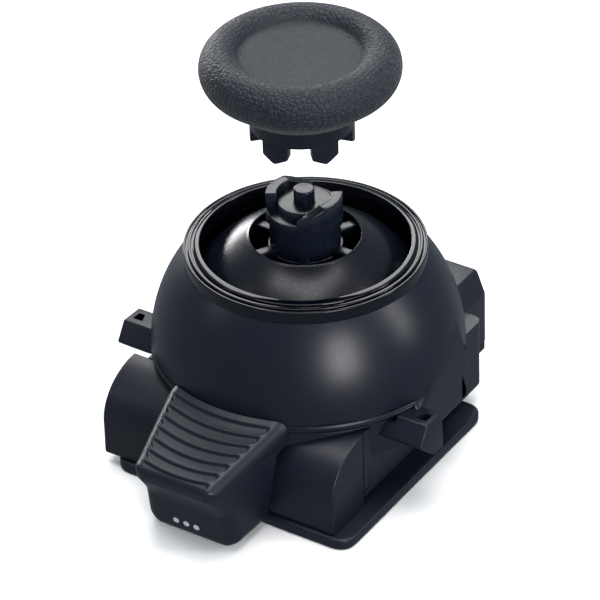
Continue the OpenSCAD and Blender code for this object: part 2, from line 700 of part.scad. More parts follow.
module rear_housing() color("#1b1d23") difference() {
    intersection() {
        tower_space(0);
        block([-20, frame_back_y, tower_z0 + tray_t], [20, 30, 20]);
    }
    intersection() {
        tower_space(1);
        block([-20, frame_back_y - 1, 0], [20, 30, 8.2]);
    }
    translate([0, 0, pivot_z]) sphere(r = dome_r + fixed_gap);
    translate([0, 0, deck_z - deck_t - fixed_gap])
        cylinder(r = dome_r + fixed_gap, h = pivot_z - deck_z + deck_t + fixed_gap);
}

module rear_tray() color("#1b1d23") difference() {
    block([-tower_w, frame_back_y, tower_z0], [tower_w, tower_back_y, tower_z0 + tray_t]);
    block([1 - tower_w, frame_back_y - 1, tower_z0 + 0.6], [tower_w - 1, tower_back_y - 1, 5]);
    block([-contact_count * contact_pitch / 2, contact_y - contact_slot, 0],
        [contact_count * contact_pitch / 2, contact_y + contact_slot, 5]);
}

module connector_block() color("#30323a") difference() {
    block([-contact_count * contact_pitch / 2 - 0.8, contact_y - 1.1, tower_z0 + 0.6],
        [contact_count * contact_pitch / 2 + 0.8, contact_y + 1.1, 7]);
    at_contacts() cylinder(r = contact_r + fixed_gap, h = 6);
}

module at_contacts() for (i = [0:contact_count - 1])
    translate([(i - (contact_count - 1) / 2) * contact_pitch, contact_y, 0]) children();

module contact_pins() color("#d6b25a") at_contacts()
    translate([0, 0, contact_rest_z]) cylinder(r = contact_r, h = 3);

// The ribbon rises from the main board, out through the frame's notch to the connector
ribbon_y = [sensor_x + 0.2, sensor_x + 1.4, frame_back_y - 1, contact_y - 1.1];
module flex_ribbon() color("#c07a2c") along_x(-ribbon_w / 2, ribbon_w / 2)
    polygon([[ribbon_y[0], shield_z], [ribbon_y[1], shield_z], [ribbon_y[2], ribbon_z],
        [ribbon_y[3], ribbon_z], [ribbon_y[3], ribbon_z + ribbon_t],
        [ribbon_y[2] - 0.1, ribbon_z + ribbon_t], [ribbon_y[1] - 0.1, shield_z + ribbon_t],
        [ribbon_y[0], shield_z + ribbon_t]]);

base_plate();
plate_screws();
lower_frame();
front_housing();
dome_housing();
trim_ring();
rear_housing();
rear_tray();
connector_block();
contact_pins();
flex_ribbon();
main_board();
gimbal_shield();
gimbal_frame();
gimbal_screws();
x_sensor();
y_sensor();
x_rotor();
y_rotor();
lower_yoke();
upper_yoke();
pivot_block();
stick_shaft();
stick_post();
dust_dome();
cap_core();
cap_grip();
return_spring();
press_cup();
click_switch();
click_plunger();
thumb_button();
button_pin();
button_board();
button_switch();
button_plunger();
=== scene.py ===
# A replaceable thumb-stick module: a domed housing with a tilting, clicking stick,
# a thumb button in front, and the stick's cap lifted off its post.
import json
import math

import bmesh
import bpy
from mathutils import Matrix, Vector


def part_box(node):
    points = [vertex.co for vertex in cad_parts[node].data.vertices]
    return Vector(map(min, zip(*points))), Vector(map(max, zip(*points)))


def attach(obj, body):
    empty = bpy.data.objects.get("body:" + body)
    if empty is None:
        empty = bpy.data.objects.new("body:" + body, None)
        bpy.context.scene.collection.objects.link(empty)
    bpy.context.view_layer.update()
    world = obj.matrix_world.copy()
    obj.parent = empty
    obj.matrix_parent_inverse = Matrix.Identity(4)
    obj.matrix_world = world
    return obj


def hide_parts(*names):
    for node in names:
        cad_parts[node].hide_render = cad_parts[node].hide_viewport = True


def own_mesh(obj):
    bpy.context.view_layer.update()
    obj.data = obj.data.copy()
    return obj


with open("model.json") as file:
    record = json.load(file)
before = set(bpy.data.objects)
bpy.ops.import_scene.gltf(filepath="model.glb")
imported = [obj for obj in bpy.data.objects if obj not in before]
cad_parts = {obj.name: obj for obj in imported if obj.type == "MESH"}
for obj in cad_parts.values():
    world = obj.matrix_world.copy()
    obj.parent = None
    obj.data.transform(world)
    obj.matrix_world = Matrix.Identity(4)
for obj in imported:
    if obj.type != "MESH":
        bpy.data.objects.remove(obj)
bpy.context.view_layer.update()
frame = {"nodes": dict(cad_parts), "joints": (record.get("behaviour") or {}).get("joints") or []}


# ---- Dome housing ----
# The outer shell that the stick looks out of: one black ABS moulding, a hemisphere with
# a rolled lip, and a flat cheek each side that carries it down past the frame. It is
# moulded in a polished tool and then lightly vapour-blasted, so that it shines softly.

def mm(node):
    """A CAD node's lowest and highest corners, in millimetres."""
    return [corner * 1000 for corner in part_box(node)]


def linear(code):
    """A linear colour from an sRGB hex value."""
    parts = [int(code[i : i + 2], 16) / 255 for i in (1, 3, 5)]
    return [c / 12.92 if c <= 0.04045 else ((c + 0.055) / 1.055) ** 2.4 for c in parts] + [1]


def add(material, kind, inputs=None, **settings):
    """Adds a node to a material. An input is a value, or another node's output to link from."""
    node = material.node_tree.nodes.new(kind)
    for name, value in settings.items():
        setattr(node, name, value)
    for name, value in (inputs or {}).items():
        socket = node.inputs[name]
        if isinstance(value, bpy.types.NodeSocket):
            material.node_tree.links.new(value, socket)
        else:
            socket.default_value = value
    return node


def new_material(name):
    """A material with nothing but its output, and that output."""
    material = bpy.data.materials.new(name)
    material.use_nodes = True
    material.node_tree.nodes.clear()
    return material, add(material, "ShaderNodeOutputMaterial")


def moulded(name, dark, light, gloss, grit_mm, grit_depth):
    """A moulded plastic: its colour drifts a little, and the tool's texture breaks its shine.

    gloss is the lowest and highest roughness. grit_mm is how far the texture's bumps are
    apart, drawn no finer than the eye can make out, and grit_depth how deep they are.
    """
    material, output = new_material(name)
    place = add(material, "ShaderNodeTexCoord").outputs["Object"]
    drift = add(material, "ShaderNodeTexNoise", {"Vector": place, "Scale": 1000 / 4.0, "Detail": 3})
    tint = add(material, "ShaderNodeMix", {"Factor": drift.outputs["Fac"]}, data_type="RGBA")
    tint.inputs[6].default_value = linear(dark)
    tint.inputs[7].default_value = linear(light)
    grit = add(material, "ShaderNodeTexNoise", {"Vector": place, "Scale": 1000 / grit_mm, "Detail": 2})
    shine = add(material, "ShaderNodeMapRange", {
        "Value": grit.outputs["Fac"], "From Min": 0.3, "From Max": 0.7,
        "To Min": gloss[0], "To Max": gloss[1]})
    relief = add(material, "ShaderNodeBump", {
        "Height": grit.outputs["Fac"], "Strength": 1.0, "Distance": grit_depth / 1000})
    shader = add(material, "ShaderNodeBsdfPrincipled", {
        "Base Color": tint.outputs[2], "Roughness": shine.outputs["Result"],
        "Normal": relief.outputs["Normal"], "Specular IOR Level": 0.32})
    material.node_tree.links.new(shader.outputs["BSDF"], output.inputs["Surface"])
    return material


def lathe(profile, steps=192):
    """Spins a closed profile of (radius, height) points about the stick's axis."""
    shape = bmesh.new()
    ring = [shape.verts.new((r, 0, z)) for r, z in profile]
    edges = [shape.edges.new((a, b)) for a, b in zip(ring, ring[1:] + ring[:1]) if a.co.x + b.co.x > 0]
    bmesh.ops.spin(shape, geom=ring + edges, cent=(0, 0, 0), axis=(0, 0, 1),
        angle=math.tau, steps=steps, use_merge=True)
    bmesh.ops.remove_doubles(shape, verts=shape.verts, dist=0.0005)
    return shape


def rounded(corners, steps=5):
    """A closed outline from corners given as (a, b, radius), each turned into an arc."""
    outline = []
    for i, (a, b, radius) in enumerate(corners):
        here = Vector((a, b))
        before = Vector(corners[i - 1][:2]) - here
        after = Vector(corners[(i + 1) % len(corners)][:2]) - here
        half = before.angle(after) / 2
        reach = min(radius / math.tan(half), 0.48 * before.length, 0.48 * after.length)
        if reach < 0.001:
            outline.append(here)
            continue
        start = here + before.normalized() * reach
        end = here + after.normalized() * reach
        for k in range(steps + 1):
            t = k / steps
            outline.append(start * (1 - t) ** 2 + here * (2 * t * (1 - t)) + end * t ** 2)
    return [tuple(point) for point in outline]


def slab(outline, near, far, axis, edge=0.12, segments=2, ends=(True, True)):
    """Extrudes an outline along an axis, and rounds the rims of the ends asked for."""
    along = "xyz".index(axis)
    across = [i for i in range(3) if i != along]
    shape = bmesh.new()
    corners = []
    for a, b in outline:
        point = [near] * 3
        point[across[0]] = a
        point[across[1]] = b
        corners.append(shape.verts.new(point))
    face = shape.faces.new(corners)
    grown = bmesh.ops.extrude_face_region(shape, geom=[face])["geom"]
    step = [0, 0, 0]
    step[along] = far - near
    bmesh.ops.translate(shape, vec=step, verts=[g for g in grown if isinstance(g, bmesh.types.BMVert)])
    bmesh.ops.recalc_face_normals(shape, faces=shape.faces)
    wanted = [place for place, asked in zip((near, far), ends) if asked]
    rims = [e for e in shape.edges
        if any(all(abs(v.co[along] - place) < 1e-5 for v in e.verts) for place in wanted)]
    if rims and edge > 0:
        bmesh.ops.bevel(shape, geom=rims, offset=edge, offset_type="OFFSET", segments=segments,
            profile=0.5, affect="EDGES", material=-1, clamp_overlap=True)
    return shape


def joined(*shapes):
    """One shape that holds several, each still closed in itself."""
    whole = bmesh.new()
    for shape in shapes:
        bmesh.ops.recalc_face_normals(shape, faces=shape.faces)
        part = bpy.data.meshes.new("part")
        shape.to_mesh(part)
        shape.free()
        whole.from_mesh(part)
        bpy.data.meshes.remove(part)
    return whole


def mirrored(shape):
    """The shape and its mirror image across the stick's axis, as one."""
    twin = shape.copy()
    bmesh.ops.scale(twin, vec=(-1, 1, 1), verts=twin.verts)
    bmesh.ops.reverse_faces(twin, faces=twin.faces)
    return joined(shape, twin)


def piece(name, shape, material, body, slot, *nodes, crease=38):
    """Makes the finished piece from a shape in millimetres, in the place of the CAD nodes."""
    bmesh.ops.remove_doubles(shape, verts=shape.verts, dist=0.0005)
    bmesh.ops.scale(shape, vec=(0.001, 0.001, 0.001), verts=shape.verts)
    mesh = bpy.data.meshes.new(name)
    shape.to_mesh(mesh)
    shape.free()
    mesh.shade_smooth()
    mesh.set_sharp_from_angle(angle=math.radians(crease))
    made = bpy.data.objects.new(name, mesh)
    bpy.context.scene.collection.objects.link(made)
    mesh.materials.append(material)
    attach(made, body)
    if nodes:
        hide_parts(*nodes)
    return made


pivot_z = frame["joints"][0]["pos_m"][2] * 1000
dome_r = mm("dome_housing")[1].x
seat_z = mm("trim_ring")[0].z
ring_r = mm("trim_ring")[1].x
cheek_z = mm("dome_housing")[0].z
dome_wall = 1.2
skirt_r = dome_r - 0.5
skirt_z = pivot_z - 0.8
lip_h = 0.34


def clamp(value):
    """The value, kept between 0 and 1."""
    return min(max(value, 0), 1)


def sphere_arc(radius, low, high, steps):
    """Points of a sphere round the stick's pivot, from one height to another."""
    start = math.asin((low - pivot_z) / radius)
    end = math.asin((high - pivot_z) / radius)
    angles = [start + (end - start) * i / steps for i in range(steps + 1)]
    return [(radius * math.cos(a), pivot_z + radius * math.sin(a)) for a in angles]


dome_shell = lathe(
    [(dome_r, pivot_z + 0.12), (dome_r - 0.02, pivot_z + 0.2), (dome_r - 0.07, pivot_z + 0.25),
        (dome_r - 0.1, pivot_z + 0.3), (dome_r - 0.07, pivot_z + 0.38)]
    + sphere_arc(dome_r, pivot_z + 0.5, seat_z, 44)
    + sphere_arc(dome_r - dome_wall, skirt_z, seat_z - 0.1, 26)[::-1]
    + [(skirt_r - 0.08, skirt_z), (skirt_r, skirt_z + 0.08), (skirt_r, pivot_z - lip_h - 0.06),
        (skirt_r + 0.06, pivot_z - lip_h), (dome_r - 0.14, pivot_z - lip_h),
        (dome_r - 0.04, pivot_z - lip_h + 0.05), (dome_r, pivot_z - lip_h + 0.14),
        (dome_r - 0.01, pivot_z - 0.06), (dome_r - 0.07, pivot_z)],
    steps=256)

# Each cheek is flat below the dome's widest line, and melts into the sphere above it
cheek_front, cheek_back, cheek_top = -4.4, 4.7, 15.6
cheek = bmesh.new()
bmesh.ops.create_grid(cheek, x_segments=40, y_segments=64, size=1)
for v in cheek.verts:
    z = cheek_z + (cheek_top - cheek_z) * (v.co.y + 1) / 2
    front = cheek_front + 0.9 * max(z - pivot_z, 0)
    y = front + (cheek_back - front) * (v.co.x + 1) / 2
    rise = clamp((z - pivot_z + 1.2) / (cheek_top - pivot_z + 1.2))
    melt = rise * rise * (3 - 2 * rise)
    side = max(1 - (y - front) / 1.8, 0) * clamp(z - pivot_z + 0.6)
    melt = melt + (1 - melt) * side * side * (3 - 2 * side)
    sphere_x = math.sqrt(dome_r ** 2 - y ** 2 - max(z - pivot_z, 0) ** 2)
    edge = min(y - front, cheek_back - y, z - cheek_z)
    soften = 0.22 * (1 - min(edge / 0.3, 1)) ** 2
    v.co = ((dome_r - soften) * (1 - melt) + (sphere_x - 0.06) * melt, y, z)
skin = bmesh.ops.extrude_face_region(cheek, geom=cheek.faces[:])["geom"]
for v in [g for g in skin if isinstance(g, bmesh.types.BMVert)]:
    v.co.x = min(v.co.x - 0.9, dome_r - 1.0)

# The spring ear stands clear of the sphere behind a slit, along each cheek's rear edge
ear_outline = rounded([(cheek_back, cheek_z + 0.1, 0.1), (cheek_back, pivot_z + 1.6, 1.2),
    (cheek_back - 0.9, pivot_z + 3.3, 0.3), (cheek_back - 1.15, pivot_z + 2.2, 0.6),
    (cheek_back - 1.3, pivot_z - 1.0, 0.4), (cheek_back - 1.3, cheek_z + 0.1, 0.1)])
ear = slab(ear_outline, dome_r - 1.1, dome_r, "x", edge=0.16, segments=3)
for v in ear.verts:
    climb = max(v.co.z - pivot_z, 0)
    v.co.x += math.sqrt(dome_r ** 2 - climb ** 2) - dome_r - 0.17 * min(climb, 3)
dome_abs = moulded("black_abs_vapour_blasted", "#080c17", "#0a0f1b", (0.30, 0.36), 0.22, 0.0008)
piece("dome_shell", joined(dome_shell, mirrored(joined(cheek, ear))), dome_abs,
    "chassis", "dome", "dome_housing")


# ---- Trim ring ----
# A piano-black ring pressed onto the dome's shoulder: ABS from a mirror-polished tool,
# with two fine grooves turned in its face, so that lights draw hard streaks along it.

ring_in = ring_r - 1.6
ring_z = seat_z + 1.25
ring_rise = 0.4


def face_z(r):
    """Height of the ring's face, which climbs inwards."""
    return ring_z + ring_rise * (ring_r - r) / (ring_r - ring_in - 0.25)


ring_profile = [(ring_in + 0.05, seat_z), (ring_r - 0.05, seat_z), (ring_r, seat_z + 0.05)]
for outer, inner in ((ring_r, ring_r - 0.25), (ring_r - 0.42, ring_r - 0.76), (ring_r - 0.94, ring_in)):
    shoulder = 0.09 if inner > ring_in else 0.12
    for k in range(5):
        a = math.radians(90 * k / 4)
        ring_profile.append((
            outer - shoulder * (1 - math.cos(a)),
            face_z(outer) - shoulder * (1 - math.sin(a))))
    for k in range(5):
        a = math.radians(90 * k / 4)
        ring_profile.append((
            inner + shoulder * (1 - math.sin(a)),
            face_z(inner + 0.2) - shoulder * (1 - math.cos(a))))
    if inner > ring_in:
        ring_profile.append((inner, face_z(inner) - 0.2))
        ring_profile.append((inner - 0.17, face_z(inner) - 0.2))
polished = moulded("piano_black_abs_polished", "#03050b", "#05070e", (0.06, 0.10), 1.5, 0.0001)
piece("trim_ring_polished", lathe(ring_profile, steps=256), polished, "chassis", "ring", "trim_ring")


# ---- Front housing ----
# A half barrel across the front that holds the button's hinge and switch: black ABS
# with a fine spark-eroded texture. It is two cups and a bridge over the button's window.

satin = moulded("black_abs_spark_eroded", "#090d18", "#0c111d", (0.36, 0.44), 0.2, 0.0012)
housing_low, housing_high = mm("front_housing")
knee_z = 5.0
barrel_back = -9.6
front_y = housing_low.y
barrel_top = 9.62


def barrel(inside=0.0, back=barrel_back):
    """The barrel's outline from the side, drawn a little inside its surface if asked."""
    arc = []
    for k in range(25):
        a = math.radians(90 * k / 24)
        arc.append((barrel_back - (barrel_back - front_y - inside) * math.cos(a),
            knee_z + (barrel_top - inside - knee_z) * math.sin(a)))
    foot = rounded([(back, housing_low.z + inside, 0), (front_y + inside, housing_low.z + inside, 0.35),
        (front_y + inside, knee_z, 0)], steps=4)
    return foot[:-1] + arc + ([(back, barrel_top - inside)] if back > barrel_back else [])


def cup(closed_x, open_x, edge):
    """Half of the barrel: closed and rounded at its outer end, hollow towards the button."""
    shape = slab(barrel(), closed_x, open_x, "x", edge=edge, segments=5, ends=(True, False))
    mouth = [f for f in shape.faces if all(abs(v.co.x - open_x) < 1e-4 for v in f.verts)]
    bmesh.ops.inset_region(shape, faces=mouth, thickness=1.2, use_even_offset=True)
    floor = [f for f in shape.faces if all(abs(v.co.x - open_x) < 1e-4 for v in f.verts)
        and len(f.verts) > 8]
    sunk = bmesh.ops.extrude_face_region(shape, geom=floor)["geom"]
    bmesh.ops.delete(shape, geom=floor, context="FACES")
    depth = (closed_x - open_x) * 0.84
    bmesh.ops.translate(shape, vec=(depth, 0, 0),
        verts=[g for g in sunk if isinstance(g, bmesh.types.BMVert)])
    return shape


window_w = 5.1
bridge = slab(rounded([(-13.2, 8.45, 0.1), (-12.4, 8.95, 0.3), (barrel_back, barrel_top, 0.1),
    (barrel_back, 8.45, 0.1)]),
    -window_w - 0.3, window_w + 0.3, "x", edge=0)
front_housing = joined(cup(housing_low.x, -window_w, 0.9), cup(housing_high.x, window_w, 0.2), bridge)
piece("front_barrel", front_housing, satin, "chassis", "housing", "front_housing")


# ---- Lower frame ----
# The chassis moulding under the dome: four walls, a round deck with a neck that the
# dome's skirt drops over, and two lugs that hook under the ribs of whatever holds it.

def carved(shape, cutter):
    """The shape with the cutter's space taken out of it."""
    pair = []
    for form in (shape, cutter):
        bmesh.ops.recalc_face_normals(form, faces=form.faces)
        mesh = bpy.data.meshes.new("form")
        form.to_mesh(mesh)
        form.free()
        pair.append(bpy.data.objects.new("form", mesh))
        bpy.context.scene.collection.objects.link(pair[-1])
    cut = pair[0].modifiers.new("cut", "BOOLEAN")
    cut.operation = "DIFFERENCE"
    cut.solver = "EXACT"
    cut.object = pair[1]
    result = bmesh.new()
    result.from_object(pair[0], bpy.context.evaluated_depsgraph_get())
    for form in pair:
        mesh = form.data
        bpy.data.objects.remove(form)
        bpy.data.meshes.remove(mesh)
    return result


frame_w = 12.2
lug_x = mm("lower_frame")[1].x
frame_back = mm("rear_housing")[0].y
walls = slab(rounded([(-frame_w, barrel_back, 0), (frame_w, barrel_back, 0), (frame_w, frame_back, 1.0),
    (-frame_w, frame_back, 1.0)]), 2.25, skirt_z - 0.1, "z", edge=0)
hollow = slab(rounded([(1.2 - frame_w, barrel_back - 1, 0), (frame_w - 1.2, barrel_back - 1, 0),
    (frame_w - 1.2, frame_back - 1.2, 0.4), (1.2 - frame_w, frame_back - 1.2, 0.4)]), 1, 12, "z", edge=0)
seam = slab([(-8.7, 5.3), (-8.7, 3.25), (-9.0, 2.98), (-10.2, 2.9), (-10.2, 2.82), (-8.95, 2.88),
    (-8.62, 3.2), (-8.62, 5.3)], frame_w - 0.2, frame_w + 0.2, "x", edge=0)

# The deck's ring, and the neck that goes on down to the barrel's back
deck = lathe(rounded([(11.0, skirt_z - 1.0, 0.1), (13.6, skirt_z - 1.0, 0.1), (13.6, 6.2, 0.1),
    (skirt_r, 6.2, 0.1), (skirt_r, skirt_z, 0.06), (11.0, skirt_z, 0.1)], steps=3))
for side in (-1, 1):
    bmesh.ops.bisect_plane(deck, geom=deck.verts[:] + deck.edges[:] + deck.faces[:],
        plane_co=(side * (dome_r - 1.1), 0, 0), plane_no=(side, 0, 0), clear_outer=True)
    rim = [e for e in deck.edges if e.is_boundary]
    bmesh.ops.holes_fill(deck, edges=rim, sides=0)

# One lug, with the shallow pocket that a mould pin leaves in its top
lug_outline = rounded([(-6.35, skirt_z + 0.62, 0.22), (-3.7, skirt_z + 0.42, 0.2), (-3.45, cheek_z, 0.35),
    (-5.15, cheek_z, 0.5), (-7.6, 8.5, 0.25)])
lug = slab(lug_outline, frame_w - 0.6, lug_x, "x", edge=0.22, segments=3, ends=(False, True))
pocket = slab(rounded([(lug_x - 1.75, -5.65, 0.1), (lug_x - 0.62, -5.65, 0.12), (lug_x - 0.62, -4.5, 0.12),
    (lug_x - 1.3, -4.5, 0.12)]), skirt_z - 0.35, skirt_z + 2, "z", edge=0)
dome_room = slab([(frame_w - 1, -9), (dome_r - dome_wall, -9), (dome_r - dome_wall, 0), (frame_w - 1, 0)],
    skirt_z - 0.02, skirt_z + 2, "z", edge=0)
lug = carved(carved(lug, pocket), dome_room)

lower_frame = joined(carved(carved(walls, hollow), seam), deck, mirrored(lug))
piece("lower_chassis", lower_frame, satin, "chassis", "housing", "lower_frame")


# ---- Base plate ----
# A flat glass-filled nylon plate screwed on from below. It stands out to the right of
# the walls as a slide rail, with its corners and edges rounded.

plate_low, plate_high = mm("base_plate")
plate_t = 1.2
plate_outline = rounded([(plate_low.x, plate_low.y, 1.9), (plate_high.x, plate_low.y, 1.9),
    (plate_high.x, plate_high.y, 1.9), (plate_low.x, plate_high.y, 1.9)], steps=10)
plate = slab(plate_outline, 0, plate_t, "z", edge=0.28, segments=4)
plate_nylon = moulded("glass_filled_nylon_moulded", "#0a0e19", "#0e131f", (0.40, 0.50), 0.3, 0.002)
screw_low, screw_high = mm("plate_screws")
sockets = []
for x in (screw_low.x + 1.1, screw_high.x - 1.1):
    for y in (screw_low.y + 1.1, -7.0, screw_high.y - 1.1):
        well = bmesh.new()
        bmesh.ops.create_cone(well, cap_ends=True, segments=48, radius1=1.2, radius2=1.2, depth=1.2,
            matrix=Matrix.Translation((x, y, 0)))
        sockets.append(well)
piece("base_plate_rail", carved(plate, joined(*sockets)), plate_nylon, "chassis", "housing", "base_plate")


# ---- Connector tower ----
# The shell behind the dome that the contacts sit in: spark-eroded ABS, closed from
# below by a tray, with a fine shut line where the two meet.

tower_low, tower_high = mm("rear_housing")
tray_low, tray_high = mm("rear_tray")
shoulder = 0.95
tower_outline = rounded([(-tower_high.x, tower_low.z + 0.04, 0), (tower_high.x, tower_low.z + 0.04, 0),
    (tower_high.x, 9.45, 1.2), (tower_high.x - shoulder, tower_high.z, 0.5),
    (shoulder - tower_high.x, tower_high.z, 0.5), (-tower_high.x, 9.45, 1.2)], steps=5)
tower = slab(tower_outline, tower_low.y + 0.02, tower_high.y, "y",
    edge=0.16, segments=3, ends=(False, True))
tower_hollow = slab([(-9.01, 2.1), (9.01, 2.1), (9.01, 8.2), (-9.01, 8.2)],
    tower_low.y - 1, tower_high.y - 1.03, "y", edge=0)
dome_space = bmesh.new()
bmesh.ops.create_uvsphere(dome_space, u_segments=128, v_segments=64, radius=dome_r + 0.02,
    matrix=Matrix.Translation((0, 0, pivot_z)))
neck_space = lathe([(0, skirt_z - 1.1), (dome_r + 0.02, skirt_z - 1.1),
    (dome_r + 0.02, pivot_z), (0, pivot_z)])
tower = carved(carved(carved(tower, tower_hollow), dome_space), neck_space)
piece("tower_shell", tower, satin, "chassis", "housing", "rear_housing")

tray_outline = rounded([(tray_low.x, tray_low.y, 0.3), (tray_high.x, tray_low.y, 0.3),
    (tray_high.x, tray_high.y, 0.3), (tray_low.x, tray_high.y, 0.3)])
tray = slab(tray_outline, tray_low.z, tray_high.z - 0.04, "z", edge=0.12, segments=2)
contact_low, contact_high = mm("contact_pins")
slot_cut = slab([(contact_low.x - 0.2, contact_low.y - 0.4), (contact_high.x + 0.2, contact_low.y - 0.4),
    (contact_high.x + 0.2, contact_high.y + 0.4), (contact_low.x - 0.2, contact_high.y + 0.4)],
    1, 5, "z", edge=0)
tray_well = slab([(tray_low.x + 1, tray_low.y - 1), (tray_high.x - 1, tray_low.y - 1),
    (tray_high.x - 1, tray_high.y - 1), (tray_low.x + 1, tray_high.y - 1)],
    tray_low.z + 0.6, 6, "z", edge=0)
piece("tower_tray", carved(carved(tray, tray_well), slot_cut), satin, "chassis", "housing", "rear_tray")


# ---- Dust dome ----
# The inner dome that tilts with the stick and keeps dust out of the gimbal: black ABS,
# satin, with a small bright bevel round its hole and six spokes in to the collar.

dust_edge = math.radians(69)
dust_r = mm("dust_dome")[1].x / math.sin(dust_edge)
dust_t = 0.8
hole_r = 5.33
dust_low_z = pivot_z + dust_r * math.cos(dust_edge)
dust_top_z = pivot_z + math.sqrt(dust_r ** 2 - hole_r ** 2)
dust_shell = lathe(
    sphere_arc(dust_r, dust_low_z, dust_top_z - 0.07, 44)
    + [(hole_r + 0.08, dust_top_z - 0.01), (hole_r + 0.02, dust_top_z - 0.03), (hole_r, dust_top_z - 0.11),
        (hole_r, dust_top_z - 0.75)]
    + sphere_arc(dust_r - dust_t, dust_low_z - 0.2, dust_top_z - 0.95, 30)[::-1],
    steps=224)
post_z = mm("stick_post")[1].z - 6.05
spokes = []
for i in range(6):
    spoke = slab(rounded([(-0.5, post_z - 0.5, 0.1), (0.5, post_z - 0.5, 0.1), (0.56, post_z + 0.42, 0.16),
        (-0.56, post_z + 0.42, 0.16)], steps=3), 3.2, hole_r + 0.25, "x", edge=0.05, segments=2)
    bmesh.ops.rotate(spoke, cent=(0, 0, 0), verts=spoke.verts,
        matrix=Matrix.Rotation(math.tau * i / 6, 3, "Z"))
    spokes.append(spoke)
collar = lathe(rounded([(2.25, post_z - 0.9, 0.05), (3.65, post_z - 0.9, 0.1), (3.65, post_z - 0.06, 0.15),
    (2.25, post_z - 0.06, 0.05)], steps=3), steps=96)
dust_abs = moulded("black_abs_satin_dome", "#070a14", "#090d18", (0.26, 0.32), 0.25, 0.0006)
piece("dust_cover", joined(dust_shell, collar, *spokes), dust_abs, "stick", "dome", "dust_dome")


# ---- Stick post ----
# The bayonet post on the end of the shaft: black acetal, hard and a little glossy, with
# a locating peg in the middle and two cam wings that the cap's legs ride up on.

acetal = moulded("black_acetal_moulded", "#0c111b", "#101622", (0.24, 0.3), 0.5, 0.0002)
waist_z = post_z + 3.1
top_z = waist_z + 1.65
wing_top = top_z + 0.8
neck_low = mm("stick_post")[0].z
stem = lathe(rounded([(1.25, neck_low, 0.05), (2.2, neck_low, 0.15), (2.2, post_z, 0.02),
    (3.4, post_z, 0.12),
    (3.4, waist_z - 0.12, 0.1), (3.65, waist_z, 0.08), (3.65, waist_z + 0.82, 0.1),
    (2.62, waist_z + 0.84, 0.05), (2.62, top_z, 0.12), (0.9, top_z, 0.02), (0.9, top_z - 0.5, 0.02),
    (1.25, top_z - 3, 0.02)], steps=3), steps=128)
peg = lathe(rounded([(0, top_z - 0.4, 0), (1.0, top_z - 0.4, 0), (1.0, top_z + 1.3, 0.14),
    (0, top_z + 1.3, 0)], steps=4), steps=64)
wings = []
for turn in (0, 180):
    high = math.radians(35 + turn)
    span = math.radians(105)
    wing = bmesh.new()
    face = wing.faces.new([wing.verts.new((r, 0, z)) for r, z in
        ((2.6, waist_z + 0.3), (3.65, waist_z + 0.3), (3.65, wing_top), (2.6, wing_top))])
    bmesh.ops.spin(wing, geom=[face], cent=(0, 0, 0), axis=(0, 0, 1), angle=-span, steps=38)
    bmesh.ops.rotate(wing, cent=(0, 0, 0), matrix=Matrix.Rotation(high, 3, "Z"), verts=wing.verts)
    bmesh.ops.remove_doubles(wing, verts=wing.verts, dist=0.0005)
    for v in wing.verts:
        if v.co.z > waist_z + 1:
            lag = math.degrees((high - math.atan2(v.co.y, v.co.x)) % math.tau)
            lag = 0 if lag > 300 else lag
            v.co.z -= max(lag - 60, 0) * 1.15 / 45
    bmesh.ops.recalc_face_normals(wing, faces=wing.faces)
    sharp = [e for e in wing.edges if e.calc_face_angle(0) > math.radians(50)]
    bmesh.ops.bevel(wing, geom=sharp, offset=0.1, segments=3, profile=0.5, affect="EDGES", material=-1,
        clamp_overlap=True)
    wings.append(wing)

    # Under each wing's high end a catch stands out from the waist for the cap's leg
    catch = bmesh.new()
    face = catch.faces.new([catch.verts.new((r, 0, z)) for r, z in
        ((3.1, waist_z - 1.15), (3.6, waist_z - 0.75), (3.64, waist_z + 0.4), (3.1, waist_z + 0.4))])
    bmesh.ops.spin(catch, geom=[face], cent=(0, 0, 0), axis=(0, 0, 1), angle=-math.radians(17), steps=8)
    bmesh.ops.rotate(catch, cent=(0, 0, 0), verts=catch.verts,
        matrix=Matrix.Rotation(high + math.radians(1), 3, "Z"))
    bmesh.ops.remove_doubles(catch, verts=catch.verts, dist=0.0005)
    wings.append(catch)
piece("bayonet_post", joined(stem, peg, *wings), acetal, "stick", "housing", "stick_post")


# ---- Cap core ----
# The cap's rigid half: black ABS, a socket with six pointed legs that straddle the dust
# dome's spokes, and a flange that the grip is moulded over.

